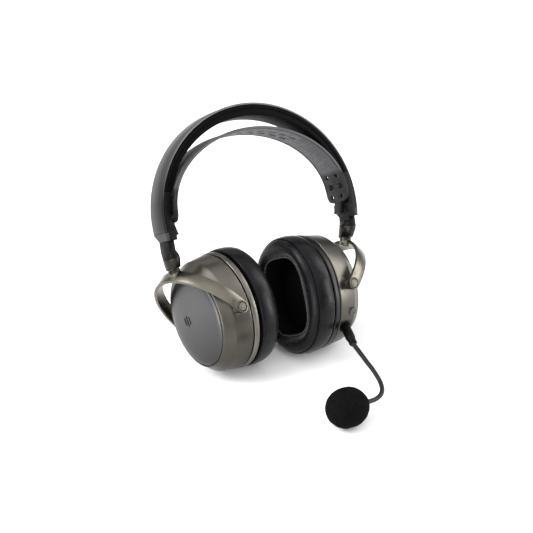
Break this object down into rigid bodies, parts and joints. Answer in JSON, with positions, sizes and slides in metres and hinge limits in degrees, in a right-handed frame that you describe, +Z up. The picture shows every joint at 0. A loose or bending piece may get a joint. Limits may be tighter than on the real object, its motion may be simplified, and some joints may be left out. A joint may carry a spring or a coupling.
{
  "type": "aviation headset",
  "caption": "Over-ear headset with a suspension headband, sliding yokes, tilting oval ear cups and a plug-in gooseneck boom microphone, standing on its cups.",
  "frame": {"origin": "centre of the bounding box on the surface the headset stands on", "axes": "+Z up from that surface, -Y the wearer's front, +X the wearer's left"},
  "size_m": [0.2042, 0.2378, 0.2158],
  "materials": {
    "cover_grey": "satin",
    "spring_steel": "brushed",
    "black_plastic": "fine texture",
    "liner_black": "soft touch",
    "strap_grey": "matte",
    "gunmetal": "satin, polished edges",
    "blade_steel": "brushed",
    "face_grey": "satin",
    "badge_black": "gloss",
    "pad_leather": "soft sheen",
    "mesh_black": "woven",
    "driver_plastic": "matte",
    "film_gold": "thin film",
    "magnet_steel": "plated",
    "battery_wrap": "shrink wrap",
    "board_green": "solder mask",
    "button_gunmetal": "satin",
    "button_black": "matte",
    "led_clear": "clear",
    "port_steel": "plated",
    "jack_gold": "plated",
    "goose_black": "ribbed sheath",
    "foam_black": "open-cell foam"
  },
  "bodies": {
    "headband": {"headband_cover": "cover_grey", "spring_band": "spring_steel", "band_liner": "liner_black", "end_housing_r": "black_plastic", "end_housing_l": "black_plastic", "suspension_strap": "strap_grey", "strap_pegs_r": "black_plastic", "strap_pegs_l": "black_plastic", "housing_screws": "blade_steel"},
    "slider_r": {"slider_r": "black_plastic", "collar_r": "gunmetal"},
    "slider_l": {"slider_l": "black_plastic", "collar_l": "gunmetal"},
    "yoke_r": {"yoke_r": "gunmetal", "swivel_pin_r": "blade_steel", "pivot_pins_r": "gunmetal"},
    "yoke_l": {"yoke_l": "gunmetal", "swivel_pin_l": "blade_steel", "pivot_pins_l": "gunmetal"},
    "cup_r": {"barrel_r": "gunmetal", "face_plate_r": "face_grey", "emblem_r": "badge_black", "trim_ring_r": "gunmetal", "baffle_r": "black_plastic", "pad_frame_r": "black_plastic", "ear_pad_r": "pad_leather", "dust_mesh_r": "mesh_black", "driver_frame_r": "driver_plastic", "diaphragm_r": "film_gold", "magnet_array_r": "magnet_steel", "battery": "battery_wrap"},
    "cup_l": {"barrel_l": "gunmetal", "face_plate_l": "face_grey", "emblem_l": "badge_black", "trim_ring_l": "gunmetal", "baffle_l": "black_plastic", "pad_frame_l": "black_plastic", "ear_pad_l": "pad_leather", "dust_mesh_l": "mesh_black", "driver_frame_l": "driver_plastic", "diaphragm_l": "film_gold", "magnet_array_l": "magnet_steel", "circuit_board": "board_green", "wheel_axles": "blade_steel", "status_led": "led_clear", "usb_port": "port_steel", "audio_jack": "black_plastic", "mic_socket": "black_plastic"},
    "front_button": {"front_button": "button_gunmetal"},
    "power_button": {"power_button": "button_black"},
    "volume_wheel": {"volume_wheel": "button_black"},
    "mix_wheel": {"mix_wheel": "button_black"},
    "mute_switch": {"mute_switch": "button_black"},
    "mic_plug": {"mic_jack_pin": "jack_gold", "mic_plug_body": "black_plastic"},
    "boom": {"gooseneck_lower": "goose_black"},
    "mic_head": {"gooseneck_upper": "goose_black", "mic_holder": "black_plastic", "windscreen": "foam_black"}
  },
  "joints": [
    {"name": "slider_r_slide", "type": "slide", "parent": "headband", "child": "slider_r", "axis": [-0.1169, -0.4679, -0.876], "range_m": [-0.008, 0.017]},
    {"name": "yoke_r_swivel", "type": "hinge", "parent": "slider_r", "child": "yoke_r", "pos_m": [-0.0903, 0.04519, 0.09745], "axis": [0.098, -0.4946, -0.8636], "range_deg": [-4.3, 19.7]},
    {"name": "cup_r_tilt", "type": "hinge", "parent": "yoke_r", "child": "cup_r", "pos_m": [-0.06487, 0.03504, 0.05539], "axis": [0.1994, -0.8404, 0.504], "range_deg": [-17.4, 2.6]},
    {"name": "slider_l_slide", "type": "slide", "parent": "headband", "child": "slider_l", "axis": [-0.1169, -0.4679, -0.876], "range_m": [-0.0025, 0.0225]},
    {"name": "yoke_l_swivel", "type": "hinge", "parent": "slider_l", "child": "yoke_l", "pos_m": [0.08559, 0.04776, 0.07889], "axis": [0.321, 0.4946, 0.8077], "range_deg": [-17.1, 6.9]},
    {"name": "cup_l_tilt", "type": "hinge", "parent": "yoke_l", "child": "cup_l", "pos_m": [0.04866, 0.03338, 0.0481], "axis": [-0.1506, 0.8686, -0.4721], "range_deg": [-7.7, 12.3]},
    {"name": "mic_plug_pull", "type": "slide", "parent": "cup_l", "child": "mic_plug", "axis": [-0.2248, -0.9313, -0.2867], "range_m": [0, 0.0135]},
    {"name": "mic_boom_turn", "type": "hinge", "parent": "mic_plug", "child": "boom", "pos_m": [0.04184, -0.02909, 0.02509], "axis": [-0.2248, -0.9313, -0.2867], "range_deg": [-90, 90]},
    {"name": "mic_boom_bend", "type": "hinge", "parent": "boom", "child": "mic_head", "pos_m": [0.0377, -0.06716, 0.01701], "axis": [-0.1514, 0.2075, -0.9664], "range_deg": [-30, 30]},
    {"name": "front_button_press", "type": "slide", "parent": "cup_l", "child": "front_button", "axis": [-0.1039, 0.9929, -0.0578], "range_m": [0, 0.0006], "stiffness_N_per_m": 600, "springref_m": -0.0004},
    {"name": "power_button_press", "type": "slide", "parent": "cup_l", "child": "power_button", "axis": [0.035, -0.924, -0.3809], "range_m": [0, 0.0008], "stiffness_N_per_m": 600, "springref_m": -0.0004},
    {"name": "volume_wheel_turn", "type": "hinge", "parent": "cup_l", "child": "volume_wheel", "pos_m": [0.04436, 0.04917, 0.01423], "axis": [0.9856, 0.0949, -0.1398], "range_deg": [-140, 140]},
    {"name": "mix_wheel_turn", "type": "hinge", "parent": "cup_l", "child": "mix_wheel", "pos_m": [0.04795, 0.07076, 0.05421], "axis": [0.9856, 0.0949, -0.1398], "range_deg": [-140, 140]},
    {"name": "mute_switch_slide", "type": "slide", "parent": "cup_l", "child": "mute_switch", "axis": [0.9856, 0.0949, -0.1398], "range_m": [0, 0.003]}
  ]
}
